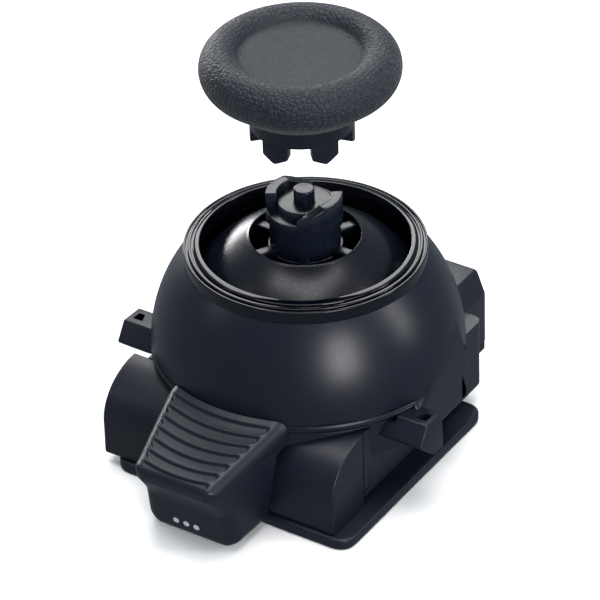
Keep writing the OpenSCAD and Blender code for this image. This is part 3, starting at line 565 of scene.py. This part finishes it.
core_low, core_high = mm("cap_core")
tip_z = core_low.z
leg_r, socket_r, leg_h = 4.95, 3.75, 2.0
hub_z = tip_z + leg_h + 2.25
core = lathe(rounded([(socket_r, tip_z + leg_h, 0.08), (leg_r, tip_z + leg_h, 0.1), (leg_r, hub_z, 0.02),
    (7.1, core_high.z, 0.05), (0, core_high.z, 0), (0, core_high.z - 0.55, 0),
    (socket_r, core_high.z - 0.55, 0.3)], steps=4), steps=192)
legs = []
for i in range(6):
    half_w = math.asin(1.4 / leg_r)
    leg = bmesh.new()
    face = leg.faces.new([leg.verts.new((r, 0, z)) for r, z in
        ((socket_r, tip_z), (leg_r, tip_z), (leg_r, tip_z + leg_h + 0.3), (socket_r, tip_z + leg_h + 0.3))])
    bmesh.ops.spin(leg, geom=[face], cent=(0, 0, 0), axis=(0, 0, 1), angle=2 * half_w, steps=16)
    bmesh.ops.remove_doubles(leg, verts=leg.verts, dist=0.0005)
    for v in leg.verts:
        if v.co.z < tip_z + 0.1:
            turn = math.atan2(v.co.y, v.co.x)
            v.co.z += 0.72 * max(abs(turn / half_w - 1) - 0.08, 0)
    middle_turn = math.tau * (i + 0.5) / 6 - half_w
    bmesh.ops.rotate(leg, cent=(0, 0, 0), matrix=Matrix.Rotation(middle_turn, 3, "Z"), verts=leg.verts)
    bmesh.ops.recalc_face_normals(leg, faces=leg.faces)
    sharp = [e for e in leg.edges if e.calc_face_angle(0) > math.radians(40)]
    bmesh.ops.bevel(leg, geom=sharp, offset=0.1, segments=3, profile=0.5, affect="EDGES", material=-1,
        clamp_overlap=True)
    legs.append(leg)
piece("cap_socket_core", joined(core, *legs), dust_abs, "cap", "housing", "cap_core")


# ---- Cap grip ----
# The thumb pad: thermoplastic rubber moulded over the core, slate-black and matt. The
# dish is grained like leather; the rim and the flank carry a coarser raised pebble.

grip_high = mm("cap_grip")[1]
dish_z = grip_high.z - 1.0
rim_z = grip_high.z - 2.2
rim_r = grip_high.x
crest_r = rim_r - 2.1
dish_r = 5.75
rim_points = []
for k in range(41):
    a = math.radians(96 - 3.5 * k)
    rim_points.append((crest_r + (rim_r - crest_r) * math.cos(a), rim_z + 2.2 * math.sin(a)))
dish_points = [(dish_r * t, dish_z - 0.1 * (1 - t ** 3)) for t in (0, 0.2, 0.4, 0.6, 0.8, 0.92)]
slope_points = [(dish_r + 0.02, dish_z + 0.03), (dish_r + 0.12, dish_z + 0.1), (dish_r + 0.3, dish_z + 0.3),
    (dish_r + 0.6, dish_z + 0.6), (dish_r + 0.95, dish_z + 0.84)]
grip_profile = dish_points + slope_points + rim_points + [(6.6, hub_z + 0.42), (5.3, hub_z + 0.02),
    (leg_r + 0.02, hub_z), (7.12, core_high.z - 0.02), (0, core_high.z)]
grip_shape = lathe(grip_profile, steps=256)

rubber, rubber_out = new_material("thermoplastic_rubber_grained")
place = add(rubber, "ShaderNodeTexCoord").outputs["Object"]
axes = add(rubber, "ShaderNodeSeparateXYZ", {"Vector": place})
flat = add(rubber, "ShaderNodeCombineXYZ", {"X": axes.outputs["X"], "Y": axes.outputs["Y"]})
reach = add(rubber, "ShaderNodeVectorMath", {0: flat.outputs["Vector"]}, operation="LENGTH")
# Leather creases 0.45 mm apart in the dish, and pebbles 0.48 mm apart outside it
creases = add(rubber, "ShaderNodeTexVoronoi", {"Vector": place, "Scale": 1000 / 0.45},
    feature="DISTANCE_TO_EDGE")
crease_h = add(rubber, "ShaderNodeMapRange", {"Value": creases.outputs["Distance"], "From Max": 0.35,
    "To Max": 0.45}, interpolation_type="SMOOTHSTEP")
warp = add(rubber, "ShaderNodeTexNoise", {"Vector": place, "Scale": 1000 / 0.5, "Detail": 3})
pebbles = add(rubber, "ShaderNodeTexVoronoi", {"Vector": place, "Scale": 1000 / 0.48, "Randomness": 0.7},
    feature="DISTANCE_TO_EDGE")
pebble_h = add(rubber, "ShaderNodeMapRange", {"Value": pebbles.outputs["Distance"], "From Max": 0.3,
    "To Max": 1.0}, interpolation_type="SMOOTHSTEP")
outside = add(rubber, "ShaderNodeMapRange", {
    "Value": reach.outputs["Value"], "From Min": (dish_r + 0.1) / 1000, "From Max": (dish_r + 0.7) / 1000})
grain = add(rubber, "ShaderNodeMix", {"Factor": outside.outputs["Result"]}, data_type="FLOAT")
rubber.node_tree.links.new(crease_h.outputs["Result"], grain.inputs[2])
rubber.node_tree.links.new(pebble_h.outputs["Result"], grain.inputs[3])
height = add(rubber, "ShaderNodeMath", {0: grain.outputs[0], 1: warp.outputs["Fac"]}, operation="ADD")
grain_depth = 0.06
relief = add(rubber, "ShaderNodeBump", {
    "Height": height.outputs["Value"], "Strength": 1.0, "Distance": grain_depth / 1000})
# Painted shade: the colour is darker down in the dish's creases and between the pebbles, and lighter on
# their raised tops, following the same height that drives the bump
grain_shade_tint = add(rubber, "ShaderNodeMix", {"Factor": grain.outputs[0]}, data_type="RGBA")
grain_shade_tint.inputs[6].default_value = linear("#0b1018")
grain_shade_tint.inputs[7].default_value = linear("#131a24")
rubber_shader = add(rubber, "ShaderNodeBsdfPrincipled", {
    "Base Color": grain_shade_tint.outputs[2], "Roughness": 0.55, "Normal": relief.outputs["Normal"],
    "Specular IOR Level": 0.3, "Sheen Weight": 0.08, "Sheen Roughness": 0.45})
rubber.node_tree.links.new(rubber_shader.outputs["BSDF"], rubber_out.inputs["Surface"])
piece("grip_pad", grip_shape, rubber, "cap", "grip", "cap_grip")


# ---- Thumb button ----
# The big function button: black ABS with a softer satin than the housing. Its pad
# follows the dome behind it, is dished for the thumb and has seven blind grooves.

button_low = mm("thumb_button")[0]
pad_back_r = dome_r + 0.1
pad_back = (-pad_back_r, 11.6)
nose = (button_low.y, 8.85)
groove_count, groove_pitch, groove_first = 7, 1.23, 1.15
groove_half, groove_depth, groove_bend = 0.44, 0.26, 17.0
edge_r = 1.3
flat_share = 0.8
foot_back = -16.2
pad_rows, front_rows = 150, 56
columns = 110


def spine():
    """The button's middle line from the dome over the nose and down to its foot."""
    corners = rounded([pad_back + (0,), nose + (0.75,), (button_low.y + 0.35, 7.35, 1.2),
        (-21.75, 4.7, 1.6), (-20.92, 0.36, 0.7), (foot_back, 0.36, 0)], steps=8)
    return [Vector(p) for p in corners]


def front_width(z):
    """The button's half-width at a height, which narrows towards its foot."""
    return 4.7 + clamp(z - 0.4) * 0.5 + clamp((z - 1.4) / 8.2) * 1.3


def along(line, distance):
    """The point at a distance along a line, and the line's outward direction there."""
    for a, b in zip(line, line[1:]):
        length = (b - a).length
        if distance <= length or b is line[-1]:
            ahead = (b - a).normalized()
            return a + ahead * distance, Vector((ahead.y, -ahead.x))
        distance -= length


middle_line = spine()
pad_length = (Vector(nose) - Vector(pad_back)).length - 0.45
whole_length = sum((b - a).length for a, b in zip(middle_line, middle_line[1:]))
button = bmesh.new()
bmesh.ops.create_grid(button, x_segments=columns, y_segments=pad_rows + front_rows, size=1)
for v in button.verts:
    s, row = v.co.x, (1 - v.co.y) / 2 * (pad_rows + front_rows)
    if row <= pad_rows:
        distance = pad_length * row / pad_rows
    else:
        distance = pad_length + (whole_length - pad_length) * (row - pad_rows) / front_rows
    point, outward = along(middle_line, distance)
    plan_w = 6.5 - 1.65 * clamp((-15.9 - point.x) / 6.6) - 0.16 * max(-22.5 - point.x, 0)
    width = min(plan_w, front_width(point.y))
    if abs(s) <= flat_share:
        x = s / flat_share * (width - edge_r)
        drop = 0
    else:
        turn = (abs(s) - flat_share) / (1 - flat_share) * math.pi / 2
        x = math.copysign(width - edge_r + edge_r * math.sin(turn), s)
        drop = edge_r * (1 - math.cos(turn))
    back_shift = pad_back_r - math.sqrt(pad_back_r ** 2 - x ** 2)
    fade = max(1 - distance / (pad_length + 0.6), 0)
    y = point.x + back_shift * fade
    z = point.y
    # The pad's dish, and its grooves, each a stadium that bows with the dome
    inner = max(1 - (x / width) ** 2, 0) ** 1.5
    dish = 0.24 * inner * min(distance / 1.5, 1) * clamp((pad_length - distance) / 2.5)
    sink = 0
    for i in range(groove_count):
        bow = groove_bend - math.sqrt(groove_bend ** 2 - x ** 2)
        centre = -dome_r - groove_first - i * groove_pitch + bow
        reach_x = width - 1.0 - groove_half
        if distance < pad_length and abs(y - centre) < 1.0:
            gap = math.hypot(max(abs(x) - reach_x, 0), y - centre) - groove_half
            depth = clamp((0.05 - gap) / 0.17)
            sink = max(sink, groove_depth * depth * depth * (3 - 2 * depth))
    v.co = (x, y - outward.x * drop, z - outward.y * drop - dish - sink)


def back_of_button(x, z):
    """How far back the button's sides reach: to the base plate, the barrel or the dome."""
    if z < 1.5:
        return foot_back
    return -15.6 if z < 9.0 else -math.sqrt(pad_back_r ** 2 - x ** 2)


# Every edge of the surface but the pad's own back edge is carried back
rim = [e for e in button.edges if e.is_boundary and not all(
    math.hypot(v.co.x, v.co.y) < pad_back_r + 0.3 and v.co.z > 10 and abs(v.co.x) < 6.4 for v in e.verts)]
sides = bmesh.ops.extrude_edge_only(button, edges=rim)["geom"]
for v in [g for g in sides if isinstance(g, bmesh.types.BMVert)]:
    if abs(v.co.x) > 4.4:
        v.co.x = math.copysign(max(min(6.5, front_width(v.co.z)), abs(v.co.x)), v.co.x)
    v.co.y = max(back_of_button(v.co.x, v.co.z), v.co.y)
bmesh.ops.remove_doubles(button, verts=button.verts, dist=0.004)
bmesh.ops.dissolve_degenerate(button, dist=0.004, edges=button.edges)
bmesh.ops.holes_fill(button, edges=[e for e in button.edges if e.is_boundary], sides=0)

# The two arms that reach back to the hinge pin, each with an eye round it
pin_y, pin_z = (mm("button_pin")[0].y + mm("button_pin")[1].y) / 2, 6.2
eye_r = 1.1
arms = []
for x in (-4.2, 4.2):
    eye = [(pin_y + eye_r * math.sin(math.radians(a)), pin_z + eye_r * math.cos(math.radians(a)))
        for a in range(0, 181, 15)]
    arm = [(-16.4, pin_z + eye_r)] + eye + [(-16.4, pin_z - eye_r)]
    arms.append(slab(arm, x - 0.6, x + 0.6, "x", edge=0.1))
tab_high_y = mm("button_plunger")[0].y - 0.02
arms.append(slab(rounded([(-17, 1.75, 0.1), (-17, 3.05, 0.1), (tab_high_y, 3.05, 0.2),
    (tab_high_y, 1.75, 0.2)]),
    -1.2, 1.2, "x", edge=0.1))
button_abs = moulded("black_abs_fine_satin", "#090d18", "#0c111d", (0.38, 0.46), 0.2, 0.001)
piece("thumb_button_cap", joined(button, *arms), button_abs,
    "thumb_button", "button", "thumb_button", crease=50)

# The button's mark: three dots pad-printed in pale grey ink low on its front
ink = moulded("pad_printing_ink_grey", "#8f979f", "#a9b1b9", (0.45, 0.6), 0.15, 0.001)
dots = []
for x in (-1.6, -0.45, 0.7):
    dot = bmesh.new()
    bmesh.ops.create_cone(dot, cap_ends=True, segments=32, radius1=0.34, radius2=0.3, depth=0.05,
        matrix=Matrix.Translation((x, -21.2, 1.75)) @ Matrix.Rotation(math.radians(90 + 11), 4, "X"))
    dots.append(dot)
piece("button_mark", joined(*dots), ink, "thumb_button", "button")


# ---- Gimbal, switches and boards ----
# What the shells hide: two natural acetal yokes that cross under the dust dome, a steel
# shaft and shield, carbon-track sensors, a click switch, and the boards they sit on.

steel, steel_out = new_material("stainless_steel_turned")
place = add(steel, "ShaderNodeTexCoord").outputs["Object"]
# Turning marks 0.06 mm apart, stretched round the axis
squeeze = add(steel, "ShaderNodeMapping", {"Vector": place, "Scale": (300, 300, 1000 / 0.06)})
marks = add(steel, "ShaderNodeTexNoise", {"Vector": squeeze.outputs["Vector"], "Scale": 1.0, "Detail": 2})
steel_shine = add(steel, "ShaderNodeMapRange", {
    "Value": marks.outputs["Fac"], "To Min": 0.22, "To Max": 0.42})
steel_relief = add(steel, "ShaderNodeBump", {
    "Height": marks.outputs["Fac"], "Strength": 0.6, "Distance": 0.00001})
steel_shader = add(steel, "ShaderNodeBsdfPrincipled", {"Base Color": linear("#b9bbbf"), "Metallic": 1.0,
    "Roughness": steel_shine.outputs["Result"], "Normal": steel_relief.outputs["Normal"]})
steel.node_tree.links.new(steel_shader.outputs["BSDF"], steel_out.inputs["Surface"])

gold, gold_out = new_material("hard_gold_plating")
place = add(gold, "ShaderNodeTexCoord").outputs["Object"]
wear = add(gold, "ShaderNodeTexNoise", {"Vector": place, "Scale": 1000 / 0.4, "Detail": 4})
gold_shine = add(gold, "ShaderNodeMapRange", {"Value": wear.outputs["Fac"], "To Min": 0.16, "To Max": 0.34})
gold_shader = add(gold, "ShaderNodeBsdfPrincipled", {"Base Color": linear("#e0b65c"), "Metallic": 1.0,
    "Roughness": gold_shine.outputs["Result"]})
gold.node_tree.links.new(gold_shader.outputs["BSDF"], gold_out.inputs["Surface"])

# Solder mask over copper tracks 0.35 mm wide, which show through it as paler green
mask, mask_out = new_material("solder_mask_green")
place = add(mask, "ShaderNodeTexCoord").outputs["Object"]
tracks = add(mask, "ShaderNodeTexBrick", {"Vector": place, "Scale": 1000 / 3.0, "Mortar Size": 0.06,
    "Color1": linear("#123a29"), "Color2": linear("#143f2d"), "Mortar": linear("#2b6a4c")})
mask_shader = add(mask, "ShaderNodeBsdfPrincipled", {
    "Base Color": tracks.outputs["Color"], "Roughness": 0.32, "IOR": 1.5,
    "Coat Weight": 0.4, "Coat Roughness": 0.15})
mask.node_tree.links.new(mask_shader.outputs["BSDF"], mask_out.inputs["Surface"])

natural = moulded("natural_acetal_moulded", "#cfd0ca", "#dcdcd7", (0.32, 0.44), 0.5, 0.002)
gimbal_abs = moulded("dark_glass_filled_nylon", "#1c1e23", "#25282e", (0.42, 0.55), 0.25, 0.005)
carbon = moulded("carbon_track_housing", "#1f2a33", "#26323c", (0.35, 0.48), 0.3, 0.002)
kapton = moulded("polyimide_film", "#9a5a1c", "#b06a24", (0.25, 0.35), 1.2, 0.001)
red_acetal = moulded("red_acetal_plunger", "#a8271a", "#bd3020", (0.3, 0.4), 0.4, 0.002)
finishes = {
    steel: ("stick_shaft", "button_pin", "gimbal_shield", "plate_screws", "gimbal_screws"),
    gold: ("contact_pins",),
    mask: ("main_board", "button_board"),
    natural: ("lower_yoke", "upper_yoke", "pivot_block", "x_rotor", "y_rotor", "button_plunger"),
    gimbal_abs: ("gimbal_frame", "connector_block", "press_cup", "click_switch", "button_switch"),
    carbon: ("x_sensor", "y_sensor"),
    kapton: ("flex_ribbon",),
    red_acetal: ("click_plunger",),
}
for finish, nodes in finishes.items():
    for name in nodes:
        for slot in frame["nodes"][name].material_slots:
            slot.material = finish


# ---- Return spring ----
# The coil that lifts the press cup and centres the stick: three turns of spring steel
# wire, wound open, which close up as the stick is pressed.

spring_low, spring_high = mm("return_spring")
wire_r, turns, turn_steps = 0.18, 3, 40
coil = bmesh.new()
bmesh.ops.create_circle(coil, cap_ends=True, segments=14, radius=wire_r,
    matrix=Matrix.Translation((spring_high.x - wire_r, 0, spring_low.z + wire_r))
        @ Matrix.Rotation(math.pi / 2, 4, "X"))
climb = (spring_high.z - spring_low.z - 2 * wire_r) / (turns * turn_steps)
bmesh.ops.spin(coil, geom=coil.verts[:] + coil.edges[:] + coil.faces[:], cent=(0, 0, 0), axis=(0, 0, 1),
    angle=math.tau * turns, steps=turns * turn_steps, dvec=(0, 0, climb))
spring = piece("recentring_spring", joined(coil), steel, "chassis", "steel", "return_spring")
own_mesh(spring)


# ---- Floor, lights and camera ----
# A pale matt sweep with soft studio boxes: a broad one front right, one low behind on
# the left, a strip at the right for the ring, and one overhead.

floor_shape = bmesh.new()
bmesh.ops.create_grid(floor_shape, x_segments=1, y_segments=1, size=3)
floor_mesh = bpy.data.meshes.new("floor")
floor_shape.to_mesh(floor_mesh)
floor_shape.free()
floor = bpy.data.objects.new("floor", floor_mesh)
bpy.context.scene.collection.objects.link(floor)
paper, paper_out = new_material("white_paper_sweep")
paper_shader = add(paper, "ShaderNodeBsdfPrincipled", {"Base Color": linear("#f4f4f4"), "Roughness": 0.9,
    "Specular IOR Level": 0.1})
paper.node_tree.links.new(paper_shader.outputs["BSDF"], paper_out.inputs["Surface"])
floor_mesh.materials.append(paper)
floor.visible_glossy = False

world = bpy.data.worlds.new("studio")
world.use_nodes = True
world.node_tree.nodes["Background"].inputs["Color"].default_value = (0.8, 0.9, 1, 1)
world.node_tree.nodes["Background"].inputs["Strength"].default_value = 0.34
bpy.context.scene.world = world
bpy.context.scene.view_settings.view_transform = "Standard"


def softbox(name, azimuth, elevation, distance, width, height, power):
    """A square light that faces the module, at an azimuth from the front towards the right."""
    lamp = bpy.data.lights.new(name, "AREA")
    lamp.shape = "RECTANGLE"
    lamp.size = width
    lamp.size_y = height
    lamp.energy = power
    box = bpy.data.objects.new(name, lamp)
    turn, rise = math.radians(azimuth), math.radians(elevation)
    out = Vector((math.sin(turn) * math.cos(rise), -math.cos(turn) * math.cos(rise), math.sin(rise)))
    box.location = Vector((0, 0, 0.015)) + out * distance
    box.rotation_mode = "QUATERNION"
    box.rotation_quaternion = out.to_track_quat("Z", "Y")
    bpy.context.scene.collection.objects.link(box)


softbox("box_front_right", 58, 17, 0.6, 0.2, 0.3, 2.6)
softbox("box_low_back_left", -120, 7, 0.6, 0.26, 0.12, 1.6)
softbox("box_back_left", -146, 40, 0.7, 0.34, 0.32, 2.3)
softbox("box_front_left", -53, 32, 0.7, 0.1, 0.3, 0.25)
softbox("strip_right", 112, 26, 0.6, 0.08, 0.4, 1.2)
softbox("box_overhead", 0, 90, 0.65, 0.5, 0.5, 5.2)

aim = Vector((-0.00058, -0.00038, 0.0150))
azimuth, elevation, roll = math.radians(33.535), math.radians(34.624), math.radians(-1.752)
away = Vector((math.sin(azimuth) * math.cos(elevation), -math.cos(azimuth) * math.cos(elevation),
    math.sin(elevation)))
camera_data = bpy.data.cameras.new("camera")
camera_data.sensor_width = 36
camera_data.lens = 266.2
camera = bpy.data.objects.new("camera", camera_data)
camera.location = aim + away * 0.42586
camera.rotation_mode = "QUATERNION"
level = Vector((math.cos(azimuth), math.sin(azimuth), 0))
right = Matrix.Rotation(roll, 3, away) @ level
camera.rotation_quaternion = Matrix((right, away.cross(right), away)).transposed().to_quaternion()
bpy.context.scene.collection.objects.link(camera)
bpy.context.scene.camera = camera
